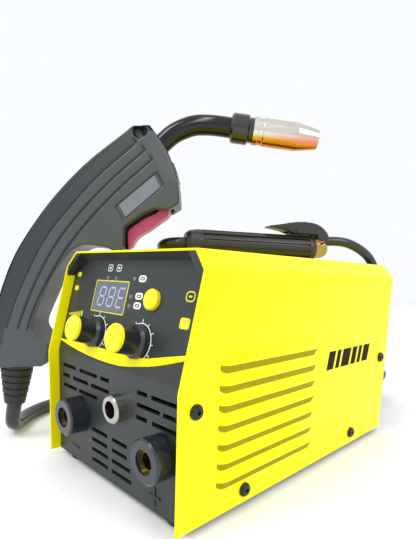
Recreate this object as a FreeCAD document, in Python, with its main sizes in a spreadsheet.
import FreeCAD, Part
import math
import os
import re
import Sketcher

# A small inverter welding machine: a folded steel cover on a base pan, a plastic front panel with a
# slanted upper face, a wire spool and feeder on the left of a divider wall and the power electronics on
# its right. A welding gun hangs over the top left edge and an electrode holder lies on the top.
# Millimetres. Origin: the middle of the base, on the undersides of the feet. +X is on the right of a
# person who looks at the front panel, +Y points from the front panel to the rear, +Z is up.

Vector = FreeCAD.Vector
Rotation = FreeCAD.Rotation
Placement = FreeCAD.Placement
X_AXIS = Vector(1, 0, 0)
Y_AXIS = Vector(0, 1, 0)
Z_AXIS = Vector(0, 0, 1)

SIZES = {
    # case
    "case_width": 140,
    "case_depth": 238,
    "case_height": 142,
    "kink_height": 73,
    "slant_run": 17.25,
    "chamfer_wide": 9,
    "chamfer_high": 10,
    "steel_gauge": 1.2,
    "fit_gap": 0.15,
    "pan_lip": 12,
    "foot_high": 4,
    "foot_radius": 8,
    "foot_inset": 16,
    # louvres on the right side
    "louvre_count": 7,
    "louvre_front": 33.4,
    "louvre_length": 80.8,
    "louvre_top": 88,
    "louvre_pitch": 10.63,
    "louvre_rise": 8,
    "louvre_bulge": 3.2,
    "louvre_skin": 0.9,
    # door on the left side
    "door_front": 100,
    "door_length": 117,
    "door_low": 20,
    "door_high": 102,
    "door_gap": 0.6,
    "hinge_pin_radius": 1.5,
    "hinge_tube_radius": 3,
    "hinge_length": 88,
    "turn_gap": 0.05,
    # front panel
    "panel_recess": 7,
    "panel_gauge": 2.5,
    "panel_top_drop": 5.6,
    "overlay_gauge": 0.4,
    "display_wide": 36.5,
    "display_tall": 19.6,
    "display_across": -17.4,
    "display_up": 41.6,
    "knob_spread": 46.2,
    "knob_across": -0.9,
    "knob_up": 18,
    "knob_skirt_radius": 9.75,
    "knob_radius": 7.9,
    "knob_tall": 15.5,
    "knob_cap_thick": 2.6,
    "spindle_radius": 3,
    "button_radius": 6,
    "button_across": 27.3,
    "button_up": 42.5,
    "button_proud": 3.4,
    "button_travel": 0.8,
    "led_radius": 1.5,
    "board_back": 13,
    "board_gauge": 1.6,
    # sockets
    "socket_radius": 12,
    "socket_proud": 13.5,
    "socket_back": 20,
    "contact_radius": 6.6,
    "contact_bore": 4.6,
    "contact_inset": 3,
    "negative_across": -36.3,
    "negative_up": 34.6,
    "positive_across": 51.3,
    "positive_up": 35.3,
    "torch_across": 9.7,
    "torch_up": 50.3,
    "torch_radius": 7.2,
    "torch_bore": 5.2,
    "torch_proud": 7,
    "torch_back": 24,
    # rear panel
    "fan_side": 60,
    "fan_depth": 15,
    "fan_across": 30,
    "fan_up": 80,
    "fan_hub_radius": 14,
    "blade_count": 7,
    "switch_wide": 22,
    "switch_tall": 28,
    "switch_across": -38,
    "switch_up": 104,
    "gland_up": 42,
    "gland_radius": 11,
    "gland_bore": 4.5,
    # inside
    "divider_across": 24,
    "divider_height": 124,
    "feeder_back": 74,
    "drive_radius": 12,
    "pressure_radius": 9,
    "roll_width": 10,
    "axle_radius": 2.5,
    "wire_gap": 0.8,
    "motor_radius": 15.5,
    "motor_length": 37,
    "spool_radius": 50,
    "spool_width": 45,
    "spool_core": 25,
    "wound_radius": 42,
    "spool_bore": 8.25,
    "spool_up": 62,
    "spool_back": 161,
    "main_board_gauge": 1.6,
    # gun
    "gun_inset": 14,
    "gun_back": 51,
    "gun_yaw": 45,
    "gun_half": 18,
    "gun_wall": 2.6,
    "trigger_half": 6.5,
    "neck_radius": 6.75,
    "neck_bore": 3.2,
    "nozzle_length": 46,
    "nozzle_radius": 9.3,
    "nozzle_tip": 6.5,
    "nozzle_bore": 5.4,
    "boot_radius": 13.5,
    "gun_lead_radius": 5.5,
    "gun_coil_radius": 61,
    # electrode holder
    "holder_across": -25.8,
    "holder_back": 86.2,
    "holder_yaw": 29.4,
    "grip_radius": 10.3,
    "grip_length": 105,
    "rib_count": 14,
    "holder_lead_radius": 4,
    "holder_coil_radius": 44,
}

doc = FreeCAD.newDocument("welder")
sheet = doc.addObject("Spreadsheet::Sheet", "Sizes")
for row, (alias, value) in enumerate(SIZES.items(), start=1):
    sheet.set(f"A{row}", alias)
    sheet.set(f"B{row}", str(value))
    sheet.setAlias(f"B{row}", alias)
doc.recompute()

WORD = re.compile(r"[a-z_]+")
nodes = []


def size(alias):
    """A driving dimension, read from the sheet."""
    return float(sheet.get(alias))


def link(text):
    """An expression on the sheet's cells, from text that names them."""
    return WORD.sub(lambda m: f"Sizes.{m[0]}" if m[0] in SIZES else m[0], str(text))


def keep(thing, name):
    """Make an object a sub-part of the machine, under its own name."""
    thing.Label = name
    nodes.append(thing)
    return thing


def bind(thing, **sizes):
    for prop, text in sizes.items():
        thing.setExpression(prop.replace("__", "."), link(text))


def bind_base(thing, base):
    for letter, text in zip("xyz", base):
        thing.setExpression(f"Placement.Base.{letter}", link(text))


TURNS = {
    "x": Rotation(Y_AXIS, 90),
    "-x": Rotation(Y_AXIS, -90),
    "y": Rotation(X_AXIS, -90),
    "-y": Rotation(X_AXIS, 90),
    "z": Rotation(),
    "-z": Rotation(X_AXIS, 180),
}


def box(name, low, span):
    thing = doc.addObject("Part::Box", name)
    bind(thing, Length=span[0], Width=span[1], Height=span[2])
    bind_base(thing, low)
    return thing


def rod(name, radius, length, base, way="z"):
    thing = doc.addObject("Part::Cylinder", name)
    bind(thing, Radius=radius, Height=length)
    thing.Placement.Rotation = TURNS[way]
    bind_base(thing, base)
    return thing


def join(name, parts):
    thing = doc.addObject("Part::MultiFuse", name)
    thing.Shapes = parts
    return thing


def group(name, parts):
    thing = doc.addObject("Part::Compound", name)
    thing.Links = parts
    return thing


def cut(name, base, tools):
    thing = doc.addObject("Part::Cut", name)
    thing.Base = base
    thing.Tool = tools[0] if len(tools) == 1 else join(f"{name}_tools", tools)
    return thing


def sketch_on(body, role, name, offset="0"):
    """An empty sketch on one of the body's origin planes, moved along the plane's normal."""
    sketch = body.newObject("Sketcher::SketchObject", name)
    plane = [f for f in body.Origin.OriginFeatures if f.Role == role][0]
    sketch.AttachmentSupport = [(plane, "")]
    sketch.MapMode = "FlatFace"
    sketch.setExpression("AttachmentOffset.Base.z", link(offset))
    return sketch


def outline(sketch, points):
    """A closed polygon whose corners are held by dimensions that are bound to the sheet."""
    first = sketch.GeometryCount
    corners = [Vector(number(across), number(up), 0) for across, up in points]
    for i, corner in enumerate(corners):
        following = corners[(i + 1) % len(corners)]
        sketch.addGeometry(Part.LineSegment(corner, following), False)
    for i, (across, up) in enumerate(points):
        here = first + i
        after = first + (i + 1) % len(points)
        sketch.addConstraint(Sketcher.Constraint("Coincident", here, 2, after, 1))
        for way, text in (("DistanceX", across), ("DistanceY", up)):
            where = sketch.addConstraint(Sketcher.Constraint(way, here, 1, number(text)))
            sketch.setExpression(f"Constraints[{where}]", link(text))


def number(text):
    """The value of an expression now, which a sketch needs for its first shape."""
    value = sheet.evalExpression(link(text).replace("Sizes.", ""))
    return float(getattr(value, "Value", value))


def pad(body, sketch, length, way="forward"):
    """Thicken a sketch: along its plane's normal, against it, or half each way."""
    feature = body.newObject("PartDesign::Pad", f"{sketch.Name}_pad")
    feature.Profile = sketch
    feature.Reversed = way == "back"
    feature.Midplane = way == "both"
    bind(feature, Length=length)
    return feature


def pocket(body, sketch, length, way="forward"):
    """Cut a sketch into the body: against its plane's normal, along it, or half each way."""
    feature = body.newObject("PartDesign::Pocket", f"{sketch.Name}_pocket")
    feature.Profile = sketch
    feature.Reversed = way == "back"
    feature.Midplane = way == "both"
    bind(feature, Length=length)
    return feature


def plate(name, role, points, length, offset="0", way="forward"):
    """A body that is one padded outline."""
    body = doc.addObject("PartDesign::Body", name)
    sketch = sketch_on(body, role, f"{name}_outline", offset)
    outline(sketch, points)
    pad(body, sketch, length, way)
    return body


def turned(name, points):
    """A body that is one outline of (radius, height) turned about its own Z axis."""
    body = doc.addObject("PartDesign::Body", name)
    sketch = sketch_on(body, "XZ_Plane", f"{name}_profile")
    outline(sketch, points)
    feature = body.newObject("PartDesign::Revolution", f"{name}_turn")
    feature.Profile = sketch
    feature.ReferenceAxis = (sketch, ["V_Axis"])
    feature.Angle = 360
    return body


def rectangle(low_across, low_up, across, up):
    high_across = f"{low_across} + {across}"
    high_up = f"{low_up} + {up}"
    return [
        (low_across, low_up),
        (high_across, low_up),
        (high_across, high_up),
        (low_across, high_up),
    ]


# ---- places that several pieces share, as expressions on the sheet ----
FRONT = "-case_depth / 2"
REAR = "case_depth / 2"
PAN_TOP = "(foot_high + steel_gauge)"
TOP = "(foot_high + case_height)"
KINK = "(foot_high + kink_height)"
TILT = "atan(slant_run / (case_height - kink_height))"
PANEL_FACE = f"({FRONT} + panel_recess)"
PANEL_BACK = f"({PANEL_FACE} + panel_gauge)"
INSIDE = "(steel_gauge + fit_gap)"
INNER_HALF = f"(case_width / 2 - {INSIDE})"
CHAMFER = "sqrt(chamfer_wide ^ 2 + chamfer_high ^ 2)"


def section(inset):
    """The case's cross-section with a chamfer at each top corner, moved inwards by inset."""
    half = f"(case_width / 2 - {inset})"
    shoulder = f"({TOP} - chamfer_high + {inset} * (chamfer_high - {CHAMFER}) / chamfer_wide)"
    crown = f"(case_width / 2 - chamfer_wide - {inset} * ({CHAMFER} - chamfer_wide) / chamfer_high)"
    top = f"({TOP} - {inset})"
    return [
        (f"-{half}", shoulder),
        (f"-{crown}", top),
        (crown, top),
        (half, shoulder),
    ]


def slanted(x, up, out):
    """A point on the panel's slanted face: across, up the slope from the kink, and out of the face."""
    back = f"{PANEL_FACE} + ({up}) * sin({TILT}) - ({out}) * cos({TILT})"
    height = f"{KINK} + ({up}) * cos({TILT}) + ({out}) * sin({TILT})"
    return x, back, height


def on_slant(thing, x, up, out):
    """Stand a piece on the slanted face: its X across, its Y up the slope, its Z out of the face."""
    thing.Placement.Rotation = Rotation(X_AXIS, 75)
    bind(thing, Placement__Rotation__Angle=f"90 deg - {TILT}")
    bind_base(thing, slanted(x, up, out))
    return thing


def slant_box(name, x, up, out, span):
    thing = box(name, ("0", "0", "0"), span)
    return on_slant(thing, x, up, out)


def slant_rod(name, radius, length, x, up, out):
    thing = rod(name, radius, length, ("0", "0", "0"))
    return on_slant(thing, x, up, out)


# ---- case ----
def screw_places():
    """Back from the front edge, and up from the pan, of the four screws on each side."""
    return [("11", "62.8"), ("51", "8"), ("181", "9"), ("225.5", "64.6")]


def build_cover():
    body = doc.addObject("PartDesign::Body", "cover_shell")
    sketch = sketch_on(body, "XZ_Plane", "cover_section")
    outer = section("0")
    inner = section("steel_gauge")
    inner_half = "(case_width / 2 - steel_gauge)"
    legs = [("case_width / 2", "foot_high"), (inner_half, "foot_high")]
    far_legs = [(f"-{inner_half}", "foot_high"), ("-case_width / 2", "foot_high")]
    outline(sketch, outer + legs + inner[::-1] + far_legs)
    pad(body, sketch, "case_depth", "both")
    slant = sketch_on(body, "YZ_Plane", "cover_slant")
    margin = 5
    outline(
        slant,
        [
            (f"{FRONT} - {margin}", KINK),
            (FRONT, KINK),
            (f"{FRONT} + slant_run * (1 + {margin} / (case_height - kink_height))", f"{TOP} + {margin}"),
            (f"{FRONT} - {margin}", f"{TOP} + {margin}"),
        ],
    )
    pocket(body, slant, "case_width + 20", "both")
    door = sketch_on(body, "YZ_Plane", "cover_doorway", "-case_width / 2 - 1")
    outline(door, rectangle(f"({FRONT} + door_front)", "(foot_high + door_low)", "door_length", "door_high"))
    pocket(body, door, "steel_gauge + 2", "back")
    hood = sketch_on(body, "XZ_Plane", "louvre_hood", f"-({FRONT} + louvre_front)")
    wall = "(case_width / 2 - 0.2)"
    lip = "(case_width / 2 + louvre_bulge)"
    outline(hood, [(wall, "louvre_top"), (lip, "louvre_top"), (wall, "louvre_top + louvre_rise")])
    hood_pad = pad(body, hood, "louvre_length", "back")
    throat = sketch_on(body, "XZ_Plane", "louvre_throat", f"-({FRONT} + louvre_front + louvre_skin)")
    behind = "(case_width / 2 - steel_gauge - 1)"
    outline(
        throat,
        [
            (behind, "louvre_top - 0.5"),
            (f"{lip} - louvre_skin", "louvre_top - 0.5"),
            (f"{lip} - louvre_skin", "louvre_top"),
            (behind, "louvre_top + louvre_rise - 1"),
        ],
    )
    throat_pocket = pocket(body, throat, "louvre_length - 2 * louvre_skin")
    rows = body.newObject("PartDesign::LinearPattern", "louvre_rows")
    rows.Originals = [hood_pad, throat_pocket]
    rows.Direction = (hood, ["V_Axis"])
    rows.Reversed = True
    bind(rows, Length="louvre_pitch * (louvre_count - 1)")
    bind(rows, Occurrences="louvre_count")
    body.Tip = rows
    holes = []
    for i, (back, up) in enumerate(screw_places()):
        base = ("-case_width / 2 - 1", f"{FRONT} + {back}", f"foot_high + {up}")
        holes.append(rod(f"screw_hole_{i}", "2 + fit_gap", "case_width + 2", base, "x"))
    return cut("cover", body, holes)


def build_screws():
    parts = []
    for side, way in (("", "x"), ("-", "-x")):
        for i, (back, up) in enumerate(screw_places()):
            screw = turned(
                f"screw_{way}_{i}".replace("-", "far_"),
                [("0", "-steel_gauge"), ("2", "-steel_gauge"), ("2", "0"), ("4", "0"), ("4", "1.2"),
                 ("3", "2.4"), ("1.2", "2.7"), ("1.2", "1.6"), ("0", "1.6")],
            )
            screw.Placement.Rotation = TURNS[way]
            bind_base(screw, (f"{side}case_width / 2", f"{FRONT} + {back}", f"foot_high + {up}"))
            parts.append(screw)
    return group("case_screws", parts)


def build_pan():
    inner = f"({INNER_HALF} - steel_gauge)"
    lip = "(foot_high + pan_lip)"
    pan = plate(
        "pan_sheet",
        "XZ_Plane",
        [(f"-{INNER_HALF}", "foot_high"), (INNER_HALF, "foot_high"), (INNER_HALF, lip), (inner, lip),
         (inner, PAN_TOP), (f"-{inner}", PAN_TOP), (f"-{inner}", lip), (f"-{INNER_HALF}", lip)],
        "case_depth",
        way="both",
    )
    slots = [
        box("pan_front_trim", ("-case_width / 2", FRONT, "0"),
            ("case_width", "panel_recess", "foot_high + pan_lip")),
        box("pan_front_seat", ("-case_width / 2", PANEL_FACE, PAN_TOP),
            ("case_width", "panel_gauge", "pan_lip")),
        box("pan_rear_seat", ("-case_width / 2", f"{REAR} - steel_gauge", PAN_TOP),
            ("case_width", "steel_gauge", "pan_lip")),
    ]
    for i in range(6):
        low = ("-45", f"{i * 26 - 60}", "foot_high - 1")
        slots.append(box(f"pan_slot_{i}", low, ("60", "4", "steel_gauge + 2")))
    for i, (back, up) in enumerate(screw_places()):
        base = ("-case_width / 2", f"{FRONT} + {back}", f"foot_high + {up}")
        slots.append(rod(f"pan_hole_{i}", "2 + fit_gap", "case_width", base, "x"))
    return cut("base_pan", pan, slots)


def build_feet():
    feet = []
    for i, (side, end) in enumerate((("-", "-"), ("", "-"), ("-", ""), ("", ""))):
        foot = doc.addObject("Part::Cone", f"foot_{i}")
        bind(foot, Radius1="foot_radius - 1.5", Radius2="foot_radius", Height="foot_high")
        bind_base(foot, (f"{side}(case_width / 2 - foot_inset)", f"{end}(case_depth / 2 - foot_inset)", "0"))
        feet.append(foot)
    return group("rubber_feet", feet)


def build_rear_panel():
    shoulders = section(INSIDE)
    sheet_body = plate(
        "rear_sheet",
        "XZ_Plane",
        [(f"-{INNER_HALF}", PAN_TOP), *shoulders, (INNER_HALF, PAN_TOP)],
        "steel_gauge",
        offset=f"-({REAR} - steel_gauge)",
        way="back",
    )
    start = f"({REAR} - steel_gauge - 1)"
    depth = "steel_gauge + 2"
    tools = [
        box("switch_hole", (f"switch_across - switch_wide / 2", start, "switch_up - switch_tall / 2"),
            ("switch_wide", depth, "switch_tall")),
        rod("gland_hole", "gland_radius - 3 + fit_gap", depth, ("switch_across", start, "gland_up"), "y"),
    ]
    slot_count = 9
    for i in range(slot_count):
        step = i - (slot_count - 1) / 2
        half = f"sqrt((fan_side / 2 - 3) ^ 2 - ({step} * 6) ^ 2)"
        low = (f"fan_across + {step} * 6 - 2", start, f"fan_up - {half}")
        tools.append(box(f"fan_slot_{i}", low, ("4", depth, f"2 * {half}")))
    return cut("rear_panel", sheet_body, tools)


CATCH_AT = (f"{FRONT} + door_front + 14", "foot_high + door_low + door_high / 2")


def build_door():
    low = (f"{FRONT} + door_front + door_gap", "foot_high + door_low + door_gap")
    sheet_part = box("door_sheet", ("-case_width / 2", low[0], low[1]),
                     ("steel_gauge", "door_length - 2 * door_gap", "door_high - 2 * door_gap"))
    parts = [sheet_part]
    for i, up in enumerate(("12", "58")):
        base_up = f"foot_high + door_low + {up}"
        axis_x, axis_y = hinge_axis()
        knuckle = rod(f"door_knuckle_{i}", "hinge_tube_radius", "20", (axis_x, axis_y, base_up))
        leaf = box(f"door_leaf_{i}", ("-case_width / 2 - 1.2", f"{axis_y} - 16", base_up),
                   ("1.2", "16", "20"))
        parts += [knuckle, leaf]
    whole = join("door_metal", parts)
    bore = rod("door_bore", "hinge_pin_radius + turn_gap", "door_high",
               (*hinge_axis(), "foot_high + door_low"))
    catch = rod("catch_hole", "4", "steel_gauge + 2", ("-case_width / 2 - 1", *CATCH_AT), "x")
    return cut("spool_door", whole, [bore, catch])


def hinge_axis():
    """Where the door's hinge pin stands, seen from above: outside the left side, behind the doorway."""
    return "-case_width / 2 - hinge_tube_radius", f"{FRONT} + door_front + door_length + hinge_tube_radius"


def build_hinge():
    axis_x, axis_y = hinge_axis()
    low = "foot_high + door_low"
    parts = [rod("hinge_pin", "hinge_pin_radius", "hinge_length", (axis_x, axis_y, f"{low} + 5"))]
    for i, (up, tall) in enumerate((("5", "6.7"), ("32.3", "25.4"), ("78.3", "6.7"))):
        base_up = f"{low} + {up}"
        parts.append(rod(f"fixed_knuckle_{i}", "hinge_tube_radius", tall, (axis_x, axis_y, base_up)))
        parts.append(box(f"fixed_leaf_{i}", ("-case_width / 2 - 1.2", axis_y, base_up), ("1.2", "12", tall)))
    back, up = screw_places()[3]
    head_room = rod("screw_head_room", "4.3", "4",
                    ("-case_width / 2 - 3", f"{FRONT} + {back}", f"foot_high + {up}"), "x")
    return cut("door_hinge", join("hinge_metal", parts), [head_room])


def build_catch():
    catch = turned(
        "door_catch",
        [("0", "-4"), ("3.9", "-4"), ("3.9", "0"), ("9", "0"), ("9", "2"), ("7.5", "5"), ("0", "5")],
    )
    catch.Placement.Rotation = TURNS["-x"]
    bind_base(catch, ("-case_width / 2", *CATCH_AT))
    return catch


# ---- front panel and its controls ----
VENT_ROWS = [
    # low corner across, low edge above the pan, length of each slot in the lower face
    (-61.5, 62.3, 17.5), (-38.5, 62.3, 22), (-12.5, 62.3, 10),
    (-62.5, 55.2, 10), (-48, 55.2, 20.5), (-24, 55.2, 21.5),
    (-61.5, 48, 19), (-40, 48, 23.5),
    (26.5, 62.3, 9.5), (39.5, 62.3, 23),
    (26.5, 55.2, 20.5), (49.8, 55.2, 13),
    (26, 48, 10), (40.5, 48, 21.5),
    (-23, 26.6, 18.5), (1, 26.6, 16),
    (-23, 19.8, 18.5), (1, 19.8, 16),
    (-23, 13, 19.5), (1, 13, 19.5),
    (-23, 6.2, 19.5), (1, 6.2, 20.5),
]
VENT_TALL = "2.6"
SOCKETS = {
    "negative": ("negative_across", "(foot_high + negative_up)"),
    "positive": ("positive_across", "(foot_high + positive_up)"),
}
TORCH = ("torch_across", "(foot_high + torch_up)")
LEDS = [(-23.8, 53.6), (-14.2, 53.6), (5.4, 53.9), (5.4, 43), (5.4, 37.4)]
KNOBS = {
    "left": "(knob_across - knob_spread / 2)",
    "right": "(knob_across + knob_spread / 2)",
}


def face_holes(prefix, depth, out, spare):
    """Tools that open the slanted face, or the sheet on it, for what comes through."""
    tools = []
    for side, across in KNOBS.items():
        tools.append(slant_rod(f"{prefix}_knob_{side}", f"spindle_radius + 0.8 + {spare}", depth, across,
                               "knob_up", out))
    tools.append(slant_rod(f"{prefix}_button", "button_radius + fit_gap", depth, "button_across",
                           "button_up", out))
    for i, (across, up) in enumerate(LEDS):
        tools.append(slant_rod(f"{prefix}_led_{i}", "led_radius + 0.05", depth, f"{across}", f"{up}", out))
    tools.append(
        slant_box(f"{prefix}_display", "display_across - display_wide / 2", "display_up - display_tall / 2",
                  out, ("display_wide", "display_tall", depth))
    )
    return tools


def build_front_panel():
    body = doc.addObject("PartDesign::Body", "panel_moulding")
    profile = sketch_on(body, "YZ_Plane", "panel_profile")
    slope = "slant_run / (case_height - kink_height)"
    crest = f"({TOP} - panel_top_drop)"
    ceiling = f"({TOP} - {INSIDE})"
    crest_face = f"({PANEL_FACE} + ({crest} - {KINK}) * {slope})"
    edge = f"({FRONT} + 0.4 + ({ceiling} - {KINK}) * {slope})"
    bend = "(panel_gauge / 8)"
    outline(
        profile,
        [
            (PANEL_FACE, PAN_TOP),
            (PANEL_FACE, KINK),
            (crest_face, crest),
            (edge, ceiling),
            (f"{crest_face} + 16", ceiling),
            (f"{crest_face} + 16", f"{ceiling} - 2"),
            (f"{crest_face} + panel_gauge + 0.6", f"{ceiling} - 2"),
            (PANEL_BACK, f"{KINK} - {bend}"),
            (PANEL_BACK, PAN_TOP),
        ],
    )
    pad(body, profile, f"2 * {INNER_HALF}", "both")
    shoulders = section(INSIDE)
    crown, top = shoulders[2]
    half, shoulder = shoulders[3]
    reach = "6"
    for mark, name in (("", "right"), ("-", "left")):
        cheek = sketch_on(body, "XZ_Plane", f"cheek_{name}", f"-({FRONT} + slant_run - 3)")
        corners = [
            (f"{mark}{half}", f"{shoulder} - {reach}"),
            (f"{mark}{half}", shoulder),
            (f"{mark}{crown}", top),
            (f"{mark}({crown} - {reach})", top),
        ]
        outline(cheek, corners if mark == "" else corners[::-1])
        pad(body, cheek, "panel_recess + 3", "back")
    front = sketch_on(body, "YZ_Plane", "panel_front_trim")
    outline(
        front,
        [
            (f"{FRONT} - 5", KINK),
            (f"{FRONT} + 0.4", KINK),
            (f"{FRONT} + 0.4 + slant_run + 5 * {slope}", f"{TOP} + 5"),
            (f"{FRONT} - 5", f"{TOP} + 5"),
        ],
    )
    pocket(body, front, "case_width + 20", "both")
    for mark, name in (("", "right"), ("-", "left")):
        corner = sketch_on(body, "XZ_Plane", f"corner_{name}", f"-({FRONT} - 1)")
        outline(
            corner,
            [
                (f"{mark}{half}", shoulder),
                (f"{mark}({half} + 6)", shoulder),
                (f"{mark}({half} + 6)", f"{top} + 6"),
                (f"{mark}{crown}", f"{top} + 6"),
                (f"{mark}{crown}", top),
            ],
        )
        pocket(body, corner, "60")
    start = f"({PANEL_FACE} - 1)"
    depth = "panel_gauge + 2"
    tools = []
    for i, (across, up, length) in enumerate(VENT_ROWS):
        low = (f"{across}", start, f"foot_high + {up}")
        tools.append(box(f"vent_{i}", low, (f"{length}", depth, VENT_TALL)))
    for name, (across, up) in SOCKETS.items():
        tools.append(rod(f"{name}_hole", "socket_radius - 2 + fit_gap", depth, (across, start, up), "y"))
    tools.append(rod("torch_hole", "torch_radius + fit_gap", depth, (TORCH[0], start, TORCH[1]), "y"))
    tools += face_holes("panel", "panel_gauge + 4", "-panel_gauge - 2", "0.1")
    return cut("front_panel", body, tools)


def build_overlay():
    """The printed sheet on the slanted face."""
    half = "(case_width / 2 - 6)"
    low = "3"
    high = f"((case_height - kink_height - panel_top_drop - 4) / cos({TILT}))"
    body = plate(
        "overlay_sheet",
        "XY_Plane",
        [(f"-{half}", low), (half, low), (half, f"{high} - 9"), (f"{half} - 8", high),
         (f"-{half} + 8", high), (f"-{half}", f"{high} - 9")],
        "overlay_gauge",
    )
    on_slant(body, "0", "0", "0")
    return cut("control_overlay", body, face_holes("overlay", "overlay_gauge + 2", "-1", "0.1"))


def build_display():
    window = slant_box("display_window", "display_across - display_wide / 2 + fit_gap",
                       "display_up - display_tall / 2 + fit_gap", "-1.2",
                       ("display_wide - 2 * fit_gap", "display_tall - 2 * fit_gap", "1.5"))
    module = slant_box("display_module", "display_across - display_wide / 2 + fit_gap",
                       "display_up - display_tall / 2 + fit_gap", "-board_back + board_gauge",
                       ("display_wide - 2 * fit_gap", "display_tall - 2 * fit_gap",
                        "board_back - board_gauge - 1.25"))
    return window, module


def build_leds():
    lamps = []
    for i, (across, up) in enumerate(LEDS):
        lamp = turned(
            f"led_{i}",
            [("0", "-board_back + board_gauge"), ("led_radius", "-board_back + board_gauge"),
             ("led_radius", "0.4"), ("led_radius * 0.7", "0.9"), ("0", "1.1")],
        )
        lamps.append(on_slant(lamp, f"{across}", f"{up}", "0"))
    return group("indicator_leds", lamps)


def build_control_board():
    board = slant_box("control_sheet", "-56", "8", "-board_back", ("112", "50", "board_gauge"))
    tact = slant_box("button_switch", "button_across - 3", "button_up - 3", "-board_back + board_gauge",
                     ("6", "6", "3.5"))
    plunger = slant_rod("switch_plunger", "1.7", "1", "button_across", "button_up",
                        "-board_back + board_gauge + 3.5")
    return join("control_board", [board, tact, plunger])


def build_pots():
    pots = []
    for side, across in KNOBS.items():
        can = slant_rod(f"pot_can_{side}", "8", "board_back - board_gauge - panel_gauge - 0.1", across,
                        "knob_up", "-board_back + board_gauge")
        bush = slant_rod(f"pot_bush_{side}", "spindle_radius + 0.8", "6", across, "knob_up",
                         "-panel_gauge - 0.2")
        bore = slant_rod(f"pot_bore_{side}", "spindle_radius + turn_gap", "20", across, "knob_up",
                         "-board_back + board_gauge + 1")
        pots.append(cut(f"pot_{side}", join(f"pot_body_{side}", [can, bush]), [bore]))
    return group("potentiometers", pots)


def build_knob(side):
    knob = turned(
        f"knob_{side}",
        [
            ("0", "-9"),
            ("spindle_radius", "-9"),
            ("spindle_radius", "7"),
            ("spindle_radius + 1.4", "7"),
            ("spindle_radius + 1.4", "1.1"),
            ("knob_skirt_radius", "1.1"),
            ("knob_skirt_radius", "3.6"),
            ("knob_radius + 0.4", "5.4"),
            ("knob_radius", "knob_tall"),
            ("0", "knob_tall"),
        ],
    )
    cap = turned(
        f"knob_cap_{side}",
        [
            ("0", "knob_tall"),
            ("knob_radius", "knob_tall"),
            ("knob_radius", "knob_tall + knob_cap_thick - 0.9"),
            ("knob_radius - 0.9", "knob_tall + knob_cap_thick"),
            ("0", "knob_tall + knob_cap_thick"),
        ],
    )
    on_slant(knob, KNOBS[side], "knob_up", "0")
    on_slant(cap, KNOBS[side], "knob_up", "0")
    return knob, cap


def build_button():
    button = turned(
        "mode_button",
        [
            ("0", "-board_back + board_gauge + 4.6 + button_travel"),
            ("2", "-board_back + board_gauge + 4.6 + button_travel"),
            ("2", "-4.4"),
            ("button_radius + 1", "-4.4"),
            ("button_radius + 1", "-panel_gauge - 0.3"),
            ("button_radius", "-panel_gauge - 0.3"),
            ("button_radius", "button_proud - 0.8"),
            ("button_radius - 0.8", "button_proud"),
            ("0", "button_proud"),
        ],
    )
    return on_slant(button, "button_across", "button_up", "0")


def build_socket(name):
    """The insulating shell of an output socket, mouth towards the front."""
    shell = turned(
        f"{name}_socket",
        [
            ("contact_radius + 0.02", "-panel_gauge - socket_back"),
            ("socket_radius - 2", "-panel_gauge - socket_back"),
            ("socket_radius - 2", "0"),
            ("socket_radius", "0"),
            ("socket_radius", "socket_proud - 1"),
            ("socket_radius - 1", "socket_proud"),
            ("contact_radius + 0.02", "socket_proud"),
        ],
    )
    shell.Placement.Rotation = TURNS["-y"]
    across, up = SOCKETS[name]
    bind_base(shell, (across, PANEL_FACE, up))
    return shell


def build_contacts():
    parts = []
    for name, (across, up) in SOCKETS.items():
        contact = turned(
            f"{name}_contact",
            [
                ("0", "-panel_gauge - socket_back - 9"),
                ("contact_radius - 1.5", "-panel_gauge - socket_back - 9"),
                ("contact_radius - 1.5", "-panel_gauge - socket_back"),
                ("contact_radius", "-panel_gauge - socket_back"),
                ("contact_radius", "socket_proud - contact_inset"),
                ("contact_bore", "socket_proud - contact_inset"),
                ("contact_bore", "-panel_gauge - socket_back + 4"),
                ("0", "-panel_gauge - socket_back + 4"),
            ],
        )
        contact.Placement.Rotation = TURNS["-y"]
        bind_base(contact, (across, PANEL_FACE, up))
        parts.append(contact)
    return group("socket_contacts", parts)


def build_torch_socket():
    socket = turned(
        "torch_socket",
        [
            ("torch_bore", "-torch_back"),
            ("torch_radius", "-torch_back"),
            ("torch_radius", "0"),
            ("torch_radius + 1.2", "0"),
            ("torch_radius + 1.2", "torch_proud - 0.8"),
            ("torch_radius + 0.4", "torch_proud"),
            ("torch_bore", "torch_proud"),
        ],
    )
    socket.Placement.Rotation = TURNS["-y"]
    bind_base(socket, (TORCH[0], PANEL_FACE, TORCH[1]))
    return socket


# ---- rear panel fittings ----
def build_fan_frame():
    front = f"({REAR} - steel_gauge - fan_depth)"
    low = ("fan_across - fan_side / 2", front, "fan_up - fan_side / 2")
    block = box("fan_block", low, ("fan_side", "fan_depth", "fan_side"))
    tunnel = rod("fan_tunnel", "fan_side / 2 - 2", "fan_depth + 2",
                 ("fan_across", f"{front} - 1", "fan_up"), "y")
    ring = cut("fan_ring", block, [tunnel])
    hub = rod("fan_motor", "fan_hub_radius - 2", "3",
              ("fan_across", f"{REAR} - steel_gauge - 3", "fan_up"), "y")
    pin = rod("fan_pin", "1.5", "fan_depth - 2", ("fan_across", f"{front} + 2", "fan_up"), "y")
    arms = []
    for i in range(2):
        span = ("fan_side - 2", "2", "3") if i == 0 else ("3", "2", "fan_side - 2")
        corner = ("fan_across", f"{REAR} - steel_gauge - 2", "fan_up")
        low = (f"{corner[0]} - {span[0]} / 2" if i else f"{corner[0]} - ({span[0]}) / 2", corner[1],
               f"{corner[2]} - ({span[2]}) / 2")
        arms.append(box(f"fan_arm_{i}", low, span))
    return join("fan_frame", [ring, hub, pin, *arms])


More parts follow.
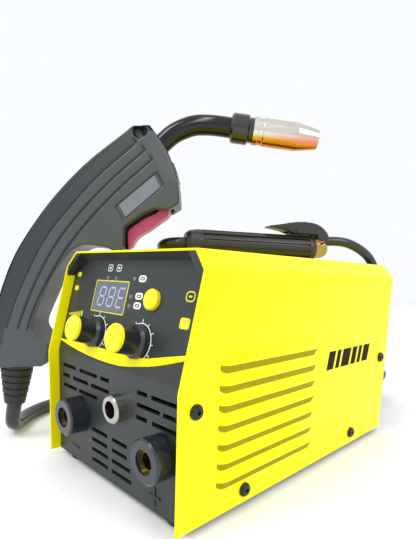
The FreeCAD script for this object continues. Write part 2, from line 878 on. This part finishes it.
def build_fan_rotor():
    front = f"({REAR} - steel_gauge - fan_depth)"
    hub = rod("rotor_hub", "fan_hub_radius", "fan_depth - 5", ("fan_across", f"{front} + 1", "fan_up"), "y")
    blades = []
    count = int(size("blade_count"))
    for i in range(count):
        blade = doc.addObject("Part::Box", f"blade_{i}")
        bind(blade, Length="fan_side / 2 - 3.5 - fan_hub_radius + 2", Width="1.2", Height="12")
        spin = Placement(Vector(), Rotation(Y_AXIS, 360 * i / count))
        pitch = Placement(Vector(size("fan_hub_radius") - 2, 8.5, -4), Rotation(X_AXIS, 38))
        back = size("case_depth") / 2 - size("steel_gauge") - size("fan_depth") + 1.4
        middle = Vector(size("fan_across"), back, size("fan_up"))
        blade.Placement = Placement(middle, Rotation()) * spin * pitch
        blades.append(blade)
    bore = rod("rotor_bore", "1.5 + turn_gap", "fan_depth", ("fan_across", f"{front} + 1.5", "fan_up"), "y")
    return join("fan_rotor", [cut("rotor_cup", hub, [bore]), *blades])


def build_switch():
    back = f"({REAR} - 14)"
    gap = "fit_gap"
    body = box("switch_body", (f"switch_across - switch_wide / 2 + {gap}", back,
                               f"switch_up - switch_tall / 2 + {gap}"),
               (f"switch_wide - 2 * {gap}", "14", f"switch_tall - 2 * {gap}"))
    lip = box("switch_lip", ("switch_across - switch_wide / 2 - 2", REAR, "switch_up - switch_tall / 2 - 2"),
              ("switch_wide + 4", "2", "switch_tall + 4"))
    well = box("switch_well", ("switch_across - switch_wide / 2 + 3", f"{REAR} - 6.5",
                               "switch_up - switch_tall / 2 + 3"),
               ("switch_wide - 6", "12", "switch_tall - 6"))
    pivot = f"{REAR} + 0.8"
    bore = rod("rocker_bore", "1.2 + turn_gap", "switch_wide - 3.8",
               ("switch_across - switch_wide / 2 + 1.9", pivot, "switch_up"), "x")
    frame = cut("power_switch_frame", join("switch_case", [body, lip]), [well, bore])
    key = plate(
        "rocker_key",
        "YZ_Plane",
        [("-2", "-10"), ("2.2", "-9.4"), ("0.8", "0"), ("4.4", "9.2"), ("0.6", "10"), ("-4.4", "4"),
         ("-4.4", "-4")],
        "switch_wide - 6.6",
        way="both",
    )
    bind_base(key, ("switch_across", pivot, "switch_up"))
    pin = rod("rocker_pin", "1.2", "switch_wide - 4",
              ("switch_across - switch_wide / 2 + 2", pivot, "switch_up"), "x")
    return frame, join("power_switch_rocker", [key, pin])


def build_gland():
    gland = turned(
        "mains_gland",
        [
            ("gland_bore", "-10"),
            ("gland_radius - 3", "-10"),
            ("gland_radius - 3", "0"),
            ("gland_radius", "0"),
            ("gland_radius", "6"),
            ("gland_radius - 2", "8"),
            ("gland_radius - 4", "15"),
            ("gland_bore", "15"),
        ],
    )
    gland.Placement.Rotation = TURNS["y"]
    bind_base(gland, ("switch_across", REAR, "gland_up"))
    return gland


# ---- inside the case ----
DIVIDER_FRONT = f"({PANEL_BACK} + 30)"
DRIVE_UP = f"({TORCH[1]} - drive_radius)"
DRIVE_BACK = f"({FRONT} + feeder_back)"
PLATE_FACE = "(divider_across - 3)"
ROLL_LEFT = "(torch_across - roll_width / 2)"
PRESSURE_UP = f"({TORCH[1]} + wire_gap + pressure_radius)"
ARM_PIVOT = (f"({DRIVE_BACK} - 24)", f"({PRESSURE_UP} + 9)")
SPOOL_LEFT = f"({PLATE_FACE} - 18 - spool_width)"
SPOOL_BACK = f"({FRONT} + spool_back)"
SPOOL_UP = "(foot_high + spool_up)"


def build_divider():
    start = DIVIDER_FRONT
    wall = box("divider_wall_sheet", ("divider_across", start, PAN_TOP),
               ("steel_gauge", f"{REAR} - fan_depth - 8 - {start}", "divider_height"))
    holes = [
        rod("motor_hole", "6", "4", ("divider_across - 1", DRIVE_BACK, DRIVE_UP), "x"),
        rod("hub_hole", "4.2", "4", ("divider_across - 1", SPOOL_BACK, SPOOL_UP), "x"),
    ]
    return cut("divider_wall", wall, holes)


def build_feed_plate():
    block = box("feed_block", (PLATE_FACE, f"{DRIVE_BACK} - 34", f"{DRIVE_UP} - 20"), ("3", "68", "62"))
    pin = rod("arm_pin", "axle_radius", "6.5", (f"{PLATE_FACE} - 6.5", *ARM_PIVOT), "x")
    guide = rod("wire_guide", "5", "16", (TORCH[0], f"{DRIVE_BACK} + 14", TORCH[1]), "y")
    bridge = box("guide_bridge", ("torch_across", f"{DRIVE_BACK} + 18", f"{TORCH[1]} - 3"),
                 (f"{PLATE_FACE} - torch_across", "8", "6"))
    hole = rod("shaft_hole", "5", "5", (f"{PLATE_FACE} - 1", DRIVE_BACK, DRIVE_UP), "x")
    bore = rod("guide_bore", "1.2", "18", (TORCH[0], f"{DRIVE_BACK} + 13", TORCH[1]), "y")
    return cut("feed_plate", join("feed_casting", [block, pin, guide, bridge]), [hole, bore])


def build_motor():
    motor = turned(
        "motor_can",
        [
            ("axle_radius + 0.5 + turn_gap", "0"),
            ("5.5", "0"),
            ("5.5", "1.5"),
            ("motor_radius", "1.5"),
            ("motor_radius", "motor_length"),
            ("0", "motor_length"),
            ("0", "12"),
            ("axle_radius + 0.5 + turn_gap", "12"),
        ],
    )
    motor.Placement.Rotation = TURNS["x"]
    bind_base(motor, ("divider_across + steel_gauge - 1.2", DRIVE_BACK, DRIVE_UP))
    return motor


def build_drive_roll():
    roll = turned(
        "drive_roll",
        [
            ("0", "0"),
            ("drive_radius", "0"),
            ("drive_radius", "roll_width / 2 - 1"),
            ("drive_radius - 0.8", "roll_width / 2"),
            ("drive_radius", "roll_width / 2 + 1"),
            ("drive_radius", "roll_width"),
            ("axle_radius + 0.5", "roll_width"),
            ("axle_radius + 0.5", f"divider_across + 10 - {ROLL_LEFT}"),
            ("0", f"divider_across + 10 - {ROLL_LEFT}"),
        ],
    )
    roll.Placement.Rotation = TURNS["x"]
    bind_base(roll, (ROLL_LEFT, DRIVE_BACK, DRIVE_UP))
    return roll


def build_pressure_arm():
    pivot_back, pivot_up = ARM_PIVOT
    low = f"{PLATE_FACE} - 5"
    arm = plate(
        "arm_sheet",
        "YZ_Plane",
        [
            (f"{pivot_back} - 5", f"{pivot_up} - 5"),
            (f"{pivot_back} + 8", f"{pivot_up} - 6"),
            (f"{DRIVE_BACK} - 4", f"{PRESSURE_UP} - 5"),
            (f"{DRIVE_BACK} + 6", f"{PRESSURE_UP} - 4"),
            (f"{DRIVE_BACK} + 26", f"{PRESSURE_UP} + 3"),
            (f"{DRIVE_BACK} + 26", f"{PRESSURE_UP} + 9"),
            (f"{pivot_back} - 5", f"{pivot_up} + 5"),
        ],
        "3.5",
        offset=low,
    )
    axle = rod("pressure_axle", "axle_radius", f"{low} - {ROLL_LEFT} + 2", (f"{ROLL_LEFT} - 1", DRIVE_BACK,
               PRESSURE_UP), "x")
    bore = rod("arm_bore", "axle_radius + turn_gap", "10", (f"{low} - 2", pivot_back, pivot_up), "x")
    return cut("pressure_arm", join("arm_parts", [arm, axle]), [bore])


def build_pressure_roll():
    tyre = rod("pressure_tyre", "pressure_radius", "roll_width", (ROLL_LEFT, DRIVE_BACK, PRESSURE_UP), "x")
    bore = rod("pressure_bore", "axle_radius + turn_gap", "roll_width + 2", (f"{ROLL_LEFT} - 1", DRIVE_BACK,
               PRESSURE_UP), "x")
    return cut("pressure_roll", tyre, [bore])


def build_spool():
    flange = "2.5"
    reel = turned(
        "wire_spool",
        [
            ("spool_bore", "0"),
            ("spool_radius", "0"),
            ("spool_radius", flange),
            ("spool_core", flange),
            ("spool_core", f"spool_width - {flange}"),
            ("spool_radius", f"spool_width - {flange}"),
            ("spool_radius", "spool_width"),
            ("spool_bore", "spool_width"),
        ],
    )
    wire = turned(
        "wire_winding",
        [
            ("spool_core", flange),
            ("wound_radius", flange),
            ("wound_radius", f"spool_width - {flange}"),
            ("spool_core", f"spool_width - {flange}"),
        ],
    )
    for part in (reel, wire):
        part.Placement.Rotation = TURNS["x"]
        bind_base(part, (SPOOL_LEFT, SPOOL_BACK, SPOOL_UP))
    hub = turned(
        "spool_hub",
        [
            ("0", "-7"),
            ("12", "-7"),
            ("12", "-0.6"),
            ("spool_bore - 0.1", "-0.6"),
            ("spool_bore - 0.1", "spool_width + 0.6"),
            ("14", "spool_width + 0.6"),
            ("14", f"divider_across - {SPOOL_LEFT}"),
            ("4", f"divider_across - {SPOOL_LEFT}"),
            ("4", f"divider_across - {SPOOL_LEFT} + steel_gauge"),
            ("0", f"divider_across - {SPOOL_LEFT} + steel_gauge"),
        ],
    )
    hub.Placement.Rotation = TURNS["x"]
    bind_base(hub, (SPOOL_LEFT, SPOOL_BACK, SPOOL_UP))
    return reel, wire, hub


BOARD_SIDE = "(divider_across + steel_gauge + 4)"
BOARD_FACE = f"({BOARD_SIDE} + main_board_gauge)"


def build_electronics():
    board = box("board_sheet", (BOARD_SIDE, f"{FRONT} + 108", f"{PAN_TOP} + 4"),
                ("main_board_gauge", "104", "108"))
    posts = []
    for i, (back, up) in enumerate((("114", "10"), ("206", "10"), ("114", "106"), ("206", "106"))):
        base = ("divider_across + steel_gauge", f"{FRONT} + {back}", f"{PAN_TOP} + {up}")
        posts.append(rod(f"board_post_{i}", "3", "4", base, "x"))
    main_board = join("main_board", [board, *posts])
    sinks = []
    for i, back in enumerate(("112", "162")):
        low = (BOARD_FACE, f"{FRONT} + {back}", f"{PAN_TOP} + 62")
        parts = [box(f"sink_base_{i}", low, ("5", "44", "46"))]
        for j in range(8):
            low = (f"{BOARD_FACE} + 5", f"{FRONT} + {back} + {j * 6}", f"{PAN_TOP} + 62")
            parts.append(box(f"sink_fin_{i}_{j}", low, ("22", "2", "46")))
        sinks.append(join(f"heatsink_{i}", parts))
    heatsinks = group("heatsinks", sinks)
    core = box("core_block", (BOARD_FACE, f"{FRONT} + 112", f"{PAN_TOP} + 8"), ("30", "48", "46"))
    windows = [
        box(f"core_window_{back}", (f"{BOARD_FACE} - 1", f"{FRONT} + {back}", f"{PAN_TOP} + 16"),
            ("32", "9", "30"))
        for back in (120, 143)
    ]
    frame = cut("transformer_core", core, windows)
    winding = box("winding_block", (BOARD_FACE, f"{FRONT} + 121", f"{PAN_TOP} + 18"), ("33", "30", "26"))
    transformer = join("transformer", [frame, winding])
    cans = []
    for i in range(2):
        base = (BOARD_FACE, f"{FRONT} + 184", f"{PAN_TOP} + {20 + i * 24}")
        cans.append(rod(f"capacitor_{i}", "11", "27", base, "x"))
    return main_board, heatsinks, transformer, group("capacitors", cans)


# ---- free shapes: smooth outlines and tubes, whose sizes come from the sheet ----
def feature(name, shape, placement=None):
    thing = doc.addObject("Part::Feature", name)
    thing.Shape = shape
    thing.Placement = placement or Placement()
    return thing


def smooth_face(points, spans):
    """A flat face from (across, up) points, with a spline through each span and lines between them."""
    edges = []
    last = len(points)
    i = 0
    while i < last:
        span = [s for s in spans if s[0] == i]
        stop = span[0][1] if span else i + 1
        run = [Vector(*points[k % last], 0) for k in range(i, stop + 1)]
        if span:
            curve = Part.BSplineCurve()
            curve.interpolate(run)
            edges.append(curve.toShape())
        else:
            edges.append(Part.LineSegment(run[0], run[1]).toShape())
        i = stop
    return Part.Face(Part.Wire(edges))


def tube_path(points):
    """Straight runs joined by tangent arcs, each as large as its two runs allow, and the arcs' radii."""
    points = [Vector(*p) for p in points]
    edges = []
    radii = []
    here = points[0]
    for before, corner, after in zip(points, points[1:], points[2:]):
        back = (before - corner).normalize()
        on = (after - corner).normalize()
        turn = math.pi - back.getAngle(on)
        reach = 0.45 * min((before - corner).Length, (after - corner).Length)
        start = corner + back * reach
        end = corner + on * reach
        radius = reach / math.tan(turn / 2)
        middle = (back + on).normalize()
        centre = corner + middle * (radius / math.cos(turn / 2))
        edges.append(Part.LineSegment(here, start).toShape())
        edges.append(Part.Arc(start, centre - middle * radius, end).toShape())
        radii.append(radius)
        here = end
    edges.append(Part.LineSegment(here, points[-1]).toShape())
    return Part.Wire(edges), radii


def tube(points, radius, bore=0):
    """A round tube along tube_path."""
    path, radii = tube_path(points)
    along = (Vector(*points[1]) - Vector(*points[0])).normalize()
    rings = [Part.Wire(Part.Circle(Vector(*points[0]), along, r).toShape()) for r in (radius, bore) if r]
    shape = path.makePipeShell([rings[0]], True, False)
    if bore:
        shape = shape.cut(path.makePipeShell([rings[1]], True, False))
    section_area = math.pi * (radius**2 - bore**2)
    error = abs(shape.Volume / (section_area * path.Length) - 1)
    if error > 0.01:
        raise ValueError(f"the tube's volume is off by {error:.1%}")
    return shape, path.Length, radii


# ---- gun: outlines in its own plane, across along the barrel and up, from the corner that it hooks by ----
GUN_OUTLINE = [
    (0, 0), (3.8, 2.4), (4.6, 18.4), (17.4, 27.5), (25.8, 31.4), (35.6, 30.9), (42.6, 35.5),
    (40.8, 51.5), (33.4, 70.5), (21.5, 86), (10, 85), (5.3, 81.1), (-19.7, 61.6), (-39.4, 42.4),
    (-56.1, 22), (-72.7, -3.2), (-84, -30), (-93.6, -62), (-97.6, -86.2), (-55.3, -83.4),
    (-51.5, -80), (-49.6, -67), (-57.2, -62.2), (-61.2, -55.3), (-60.2, -48.5), (-55.3, -37.1),
    (-47.7, -20.5), (-40.9, -9.8), (-33.3, -0.5), (-25, 4.4), (-18.2, 4.9), (-7.6, 3.9),
]
GUN_SMOOTH = [(6, 9), (11, 18), (22, 30)]
GUN_CAVITY = [
    (-2, 9), (-2, 24), (14, 36), (30, 38), (33, 52), (26, 68), (14, 76), (2, 70), (-20, 50), (-42, 27),
    (-60, 4), (-76, -28), (-84, -56), (-86, -76), (-62, -76), (-64, -60), (-58, -30), (-44, -6), (-24, 10),
]
TRIGGER_OUTLINE = [
    (35, 29.2), (35.6, 33.4), (33.6, 36), (31.2, 36), (29.2, 33.2), (25.8, 29.6), (17.6, 25.7),
    (6.6, 18), (5.2, 16), (5.6, 4.4), (7.4, 4.8), (12.1, 12), (21.2, 18), (27.4, 22.6), (33.6, 27.2),
]
TRIGGER_SMOOTH = [(10, 14)]
TRIGGER_PIVOT = (32.4, 33.2)
TRIGGER_ROOM = [
    (0.8, 20), (14, 31), (26, 35), (29, 38), (36, 38), (37.8, 33), (36.2, 29), (34.5, 24), (0.8, 3),
]
NECK_POINTS = [(16, 58), (24, 74), (36.5, 86), (51, 91.8), (64, 92), (77, 90.7)]
BOOT_START = (-80, -81)
BOOT_END = (-83.5, -116)


def gun_frame():
    """The gun's own plane stands on its edge over the top left corner of the case."""
    across = size("gun_inset") - size("case_width") / 2
    back = size("gun_back") - size("case_depth") / 2
    corner = Vector(across, back, size("foot_high") + size("case_height"))
    return Placement(corner, Rotation(Z_AXIS, size("gun_yaw")) * Rotation(X_AXIS, 90))


def in_gun(across, up, aside=0.0):
    return gun_frame().multVec(Vector(across, up, aside))


def along_gun(thing, start, degrees):
    """Point a turned piece's own Z axis along a direction in the gun's plane."""
    local = Placement(Vector(*start, 0), Rotation(Z_AXIS, degrees) * Rotation(Y_AXIS, 90))
    thing.Placement = gun_frame() * local
    return thing


def slab(points, spans, low, high):
    face = smooth_face(points, spans)
    face.translate(Vector(0, 0, low))
    return face.extrude(Vector(0, 0, high - low))


def build_gun_shells():
    half = size("gun_half")
    wall = size("gun_wall")
    whole = slab(GUN_OUTLINE, GUN_SMOOTH, -half, half)
    whole = whole.cut(slab(GUN_CAVITY, [], wall - half, half - wall))
    side_room = size("trigger_half") + 0.4
    whole = whole.cut(slab(TRIGGER_ROOM, [], -side_room, side_room))
    boot_start = Vector(*BOOT_START, 0)
    boot_way = Vector(*BOOT_END, 0) - boot_start
    seat = Part.makeCylinder(size("boot_radius") + size("fit_gap"), 20, boot_start, boot_way)
    throat = Part.makeCylinder(size("gun_lead_radius"), 20, boot_start - Vector(0, 2, 0), Y_AXIS)
    neck, _, _ = tube([(*p, 0) for p in NECK_POINTS], size("neck_radius"))
    eye = Part.makeCylinder(2.4, 2 * half, Vector(11.5, 78.6, -half), Z_AXIS)
    whole = whole.cut(neck).cut(seat).cut(throat).cut(eye)
    pin = Part.makeCylinder(1.5, 2 * side_room + 2, Vector(*TRIGGER_PIVOT, -side_room - 1), Z_AXIS)
    big = 400
    near_half = Part.makeBox(big, big, big, Vector(-big / 2, -big / 2, 0))
    far_half = Part.makeBox(big, big, big, Vector(-big / 2, -big / 2, -big))
    near = whole.common(near_half)
    far = whole.common(far_half).fuse(pin)
    near = near.cut(pin)
    return (
        feature("gun_shell_right", near, gun_frame()),
        feature("gun_shell_left", far, gun_frame()),
    )


def build_trigger():
    half = size("trigger_half")
    lever = slab(TRIGGER_OUTLINE, TRIGGER_SMOOTH, -half, half)
    bore = Part.makeCylinder(1.5 + size("turn_gap"), 4 * half, Vector(*TRIGGER_PIVOT, -2 * half), Z_AXIS)
    return feature("gun_trigger", lever.cut(bore), gun_frame())


def build_neck():
    shape, _, radii = tube([(*p, 0) for p in NECK_POINTS], size("neck_radius"), size("neck_bore"))
    print("neck bend radii", [round(r) for r in radii])
    return feature("gun_neck", shape, gun_frame())


def build_nozzle():
    insulator = turned(
        "gun_insulator",
        [
            ("neck_bore", "0"),
            ("nozzle_radius - 1", "0"),
            ("nozzle_radius + 0.6", "1.4"),
            ("nozzle_radius + 0.6", "12"),
            ("nozzle_radius - 1", "13"),
            ("nozzle_radius - 1", "16"),
            ("neck_bore", "16"),
        ],
    )
    nozzle = turned(
        "gun_nozzle",
        [
            ("nozzle_bore", "16"),
            ("nozzle_radius", "16"),
            ("nozzle_radius", "19"),
            ("nozzle_radius - 0.5", "19.6"),
            ("nozzle_radius - 0.5", "22.5"),
            ("nozzle_radius", "23.2"),
            ("nozzle_radius", "16 + nozzle_length - 15"),
            ("nozzle_tip", "16 + nozzle_length"),
            ("nozzle_bore", "16 + nozzle_length"),
        ],
    )
    tip = turned(
        "gun_contact_tip",
        [
            ("0.6", "16"),
            ("4.4", "16"),
            ("4.4", "24"),
            ("3.2", "26"),
            ("3.2", "12 + nozzle_length"),
            ("2", "14 + nozzle_length"),
            ("0.6", "14 + nozzle_length"),
        ],
    )
    (before, height), (end, end_height) = NECK_POINTS[-2:]
    drop = math.degrees(math.atan2(end_height - height, end - before))
    return [along_gun(part, NECK_POINTS[-1], drop) for part in (insulator, nozzle, tip)]


def boot_length():
    return (Vector(*BOOT_END, 0) - Vector(*BOOT_START, 0)).Length


def build_boot():
    rings = []
    for i in range(5):
        height = 5.5 + i * 5.2
        radius = 12.2 - i * 0.75
        rings += [(f"{radius}", f"{height}"), (f"{radius - 1.4}", f"{height + 0.3}"),
                  (f"{radius - 1.4}", f"{height + 1.7}"), (f"{radius - 0.6}", f"{height + 2}")]
    boot = turned(
        "gun_boot",
        [("gun_lead_radius", "0"), ("boot_radius", "0"), ("boot_radius - 0.5", "4.5"), *rings,
         ("gun_lead_radius + 2", f"{boot_length()}"), ("gun_lead_radius", f"{boot_length()}")],
    )
    drop = math.degrees(math.atan2(BOOT_END[1] - BOOT_START[1], BOOT_END[0] - BOOT_START[0]))
    return along_gun(boot, BOOT_START, drop)


# ---- leads: each runs on the floor to a coil behind the machine, where its plug lies on the coil ----
GUN_COIL_AT = (-148, 200)
HOLDER_COIL_AT = (-16, 192)
GUN_LEAD_BENDS = [
    (-117, -129, 16.5), (-124.5, -125, 8.2), (-138, -116, 5.7), (-156, -96, 5.6), (-167, -62, 5.6),
    (-176, -16, 5.6), (-182, 40, 5.6), (-198, 95, 5.6), (-209.5, 150, 5.6),
]
HOLDER_LEAD_BENDS = [
    (-29.7, -39.8, 156.1), (-39.3, -42.4, 154.8), (-48, -37.5, 152.8), (-50.2, -28.2, 151),
    (-41, -8.2, 150.3), (-22.5, 22, 150.3), (-4, 56, 152.5), (17, 84, 159.5), (34, 103, 164.5),
    (45.5, 119.5, 163), (52, 132.5, 153.5), (54.5, 139.5, 136), (55, 142, 110), (53, 143.5, 78),
    (50, 148, 46), (46, 156, 22), (41, 167, 8.6), (36.5, 179, 4.5),
]


def build_leads():
    starts = {
        "gun": in_gun(*BOOT_END),
        "holder": on_grip(0, 0, 0),
    }
    gun_end = (GUN_COIL_AT[0] - size("gun_coil_radius") - size("gun_lead_radius"), GUN_COIL_AT[1], 5.6)
    holder_end = (HOLDER_COIL_AT[0] + size("holder_coil_radius") + size("holder_lead_radius"),
                  HOLDER_COIL_AT[1], 4.2)
    leads = []
    runs = (("gun", GUN_LEAD_BENDS, gun_end), ("holder", HOLDER_LEAD_BENDS, holder_end))
    for name, bends, end in runs:
        route = [tuple(starts[name]), *bends, end]
        shape, length, radii = tube(route, size(f"{name}_lead_radius"))
        print(f"{name}_lead: {length:.0f} mm, radii", [round(r) for r in radii])
        leads.append(feature(f"{name}_lead", shape))
    return leads


def build_coil(name, at):
    """The outer shape of a coil of two turns side by side, two high."""
    thick = f"(2 * {name}_lead_radius)"
    across, back = (f"{v}" for v in at)
    outer = rod(f"{name}_coil_outer", f"{name}_coil_radius + {thick}", f"2 * {thick}", (across, back, "0"))
    inner = rod(f"{name}_coil_inner", f"{name}_coil_radius - {thick}", f"2 * {thick} + 2",
                (across, back, "-1"))
    return cut(f"{name}_lead_coil", outer, [inner])


def build_gun_plug():
    plug = turned(
        "gun_plug",
        [
            ("0", "0"), ("gun_lead_radius + 2", "0"), ("gun_lead_radius + 4", "16"), ("12", "22"),
            ("12", "46"), ("13.5", "47"), ("13.5", "60"), ("12", "61"), ("torch_radius + 2", "61"),
            ("torch_radius + 2", "64"), ("torch_bore - 0.3", "64"), ("torch_bore - 0.3", "76"), ("0", "76"),
        ],
    )
    plug.Placement.Rotation = TURNS["x"]
    base = (f"{GUN_COIL_AT[0]} - 38", f"{GUN_COIL_AT[1]} + gun_coil_radius", "4 * gun_lead_radius + 13.5")
    bind_base(plug, base)
    return plug


def build_holder_plug():
    plug = turned(
        "holder_plug",
        [
            ("0", "0"), ("holder_lead_radius + 2", "0"), ("holder_lead_radius + 4", "14"), ("11.5", "20"),
            ("12", "42"), ("10", "44"), ("contact_bore - 0.1", "44"), ("contact_bore - 0.1", "64"),
            ("0", "64"),
        ],
    )
    plug.Placement.Rotation = TURNS["-x"]
    base = (f"{HOLDER_COIL_AT[0]} + 32", f"{HOLDER_COIL_AT[1]} + holder_coil_radius",
            "4 * holder_lead_radius + 12")
    bind_base(plug, base)
    return plug


# ---- electrode holder: its own Z axis runs from the butt to the jaw, its X is up ----
def grip_frame():
    butt = Vector(size("holder_across"), size("holder_back") - size("case_depth") / 2,
                  size("foot_high") + size("case_height") + size("grip_radius"))
    along = Rotation(Z_AXIS, 90 - size("holder_yaw"))
    return Placement(butt, along * Rotation(Y_AXIS, 90) * Rotation(Z_AXIS, 180))


def on_grip(up, aside, along):
    return grip_frame().multVec(Vector(up, aside, along))


def build_grip():
    body = doc.addObject("PartDesign::Body", "grip_body")
    profile = sketch_on(body, "XZ_Plane", "grip_profile")
    outline(
        profile,
        [
            ("holder_lead_radius + 0.05", "0"),
            ("grip_radius - 3.2", "0"),
            ("grip_radius - 1", "3"),
            ("grip_radius", "9"),
            ("grip_radius", "grip_length - 3"),
            ("grip_radius - 1", "grip_length"),
            ("0", "grip_length"),
            ("0", "14"),
            ("holder_lead_radius + 0.05", "14"),
        ],
    )
    spin = body.newObject("PartDesign::Revolution", "grip_turn")
    spin.Profile = profile
    spin.ReferenceAxis = (profile, ["V_Axis"])
    spin.Angle = 360
    groove = sketch_on(body, "XY_Plane", "grip_groove", "12")
    outline(groove, rectangle("grip_radius - 1.1", "-0.8", "3", "1.6"))
    groove_cut = pocket(body, groove, "grip_length - 18", "back")
    ribs = body.newObject("PartDesign::PolarPattern", "grip_ribs")
    ribs.Originals = [groove_cut]
    ribs.Axis = (groove, ["N_Axis"])
    ribs.Angle = 360
    bind(ribs, Occurrences="rib_count")
    body.Tip = ribs
    lug = box("lever_lug", ("grip_radius - 3", "-3", "84"), ("7.5", "6", "9"))
    pin = rod("lever_pin", "1.5", "18", ("grip_radius + 2.4", "-9", "88.5"), "y")
    whole = join("holder_grip", [body, lug, pin])
    whole.Placement = grip_frame()
    return whole


def build_lever():
    bar = plate(
        "lever_bar",
        "XZ_Plane",
        [
            ("grip_radius + 5.2", "66"), ("grip_radius + 7.4", "66"), ("grip_radius + 9.6", "80"),
            ("grip_radius + 10", "94"), ("grip_radius + 8", "110"), ("grip_radius + 3.6", "120"),
            ("grip_radius + 0.5", "121"), ("grip_radius + 0.5", "86"),
        ],
        "17",
        way="both",
    )
    tools = [
        box("lug_slot", ("grip_radius - 5", "-3.3", "81"), ("10.2", "6.6", "15")),
        rod("pin_bore", "1.5 + turn_gap", "20", ("grip_radius + 2.4", "-10", "88.5"), "y"),
    ]
    lever = cut("holder_lever", bar, tools)
    lever.Placement = grip_frame()
    return lever, feature("holder_upper_jaw", upper_jaw_shape(), grip_frame())


def upper_jaw_shape():
    top = size("grip_radius") + 0.5
    return Part.makeBox(top - 5.4, 8, 12, Vector(5.4, -4, 107))


def build_jaw():
    jaw = plate(
        "jaw_bar",
        "XZ_Plane",
        [("-7.5", "grip_length"), ("-7.5", "grip_length + 12"), ("-4", "grip_length + 18"),
         ("3", "grip_length + 18"), ("5.2", "grip_length + 15"), ("5.2", "grip_length")],
        "13",
        way="both",
    )
    notch = rod("rod_notch", "1.6", "30", ("5.2", "-15", "grip_length + 8"), "y")
    whole = cut("holder_jaw", jaw, [notch])
    whole.Placement = grip_frame()
    return whole


# ---- the machine ----
keep(build_pan(), "base_pan")
keep(build_cover(), "cover")
keep(build_screws(), "case_screws")
keep(build_feet(), "rubber_feet")
keep(build_rear_panel(), "rear_panel")
keep(build_door(), "spool_door")
keep(build_hinge(), "door_hinge")
keep(build_catch(), "door_catch")
keep(build_front_panel(), "front_panel")
keep(build_overlay(), "control_overlay")
for part, name in zip(build_display(), ("display_window", "display_module")):
    keep(part, name)
keep(build_leds(), "indicator_leds")
keep(build_control_board(), "control_board")
keep(build_pots(), "potentiometers")
for side in KNOBS:
    knob, cap = build_knob(side)
    keep(knob, f"knob_{side}")
    keep(cap, f"knob_cap_{side}")
keep(build_button(), "mode_button")
for name in SOCKETS:
    keep(build_socket(name), f"{name}_socket")
keep(build_contacts(), "socket_contacts")
keep(build_torch_socket(), "torch_socket")
keep(build_fan_frame(), "fan_frame")
keep(build_fan_rotor(), "fan_rotor")
for part, name in zip(build_switch(), ("power_switch_frame", "power_switch_rocker")):
    keep(part, name)
keep(build_gland(), "mains_gland")
keep(build_divider(), "divider_wall")
keep(build_feed_plate(), "feed_plate")
keep(build_motor(), "feed_motor")
keep(build_drive_roll(), "drive_roll")
keep(build_pressure_arm(), "pressure_arm")
keep(build_pressure_roll(), "pressure_roll")
for part, name in zip(build_spool(), ("wire_spool", "wire_winding", "spool_hub")):
    keep(part, name)
for part, name in zip(build_electronics(), ("main_board", "heatsinks", "transformer", "capacitors")):
    keep(part, name)
for part, name in zip(build_gun_shells(), ("gun_shell_right", "gun_shell_left")):
    keep(part, name)
keep(build_trigger(), "gun_trigger")
keep(build_neck(), "gun_neck")
for part, name in zip(build_nozzle(), ("gun_insulator", "gun_nozzle", "gun_contact_tip")):
    keep(part, name)
keep(build_boot(), "gun_boot")
keep(build_grip(), "holder_grip")
for part, name in zip(build_lever(), ("holder_lever", "holder_upper_jaw")):
    keep(part, name)
keep(build_jaw(), "holder_jaw")
for part, name in zip(build_leads(), ("gun_lead", "holder_lead")):
    keep(part, name)
keep(build_coil("gun", GUN_COIL_AT), "gun_lead_coil")
keep(build_coil("holder", HOLDER_COIL_AT), "holder_lead_coil")
keep(build_gun_plug(), "gun_plug")
keep(build_holder_plug(), "holder_plug")

doc.recompute()
for thing in doc.Objects:
    if "Invalid" in thing.State or "Error" in thing.State:
        raise ValueError(f"{thing.Label} was not made: {thing.State}")
for part in nodes:
    if part.Shape.isNull() or not part.Shape.isValid() or part.Shape.Volume <= 0:
        raise ValueError(f"{part.Label} has no good shape")

os.makedirs("parts", exist_ok=True)
for part in nodes:
    part.Shape.exportStep(f"parts/{part.Label}.step")
    print(part.Label, len(part.Shape.Solids), round(part.Shape.Volume))
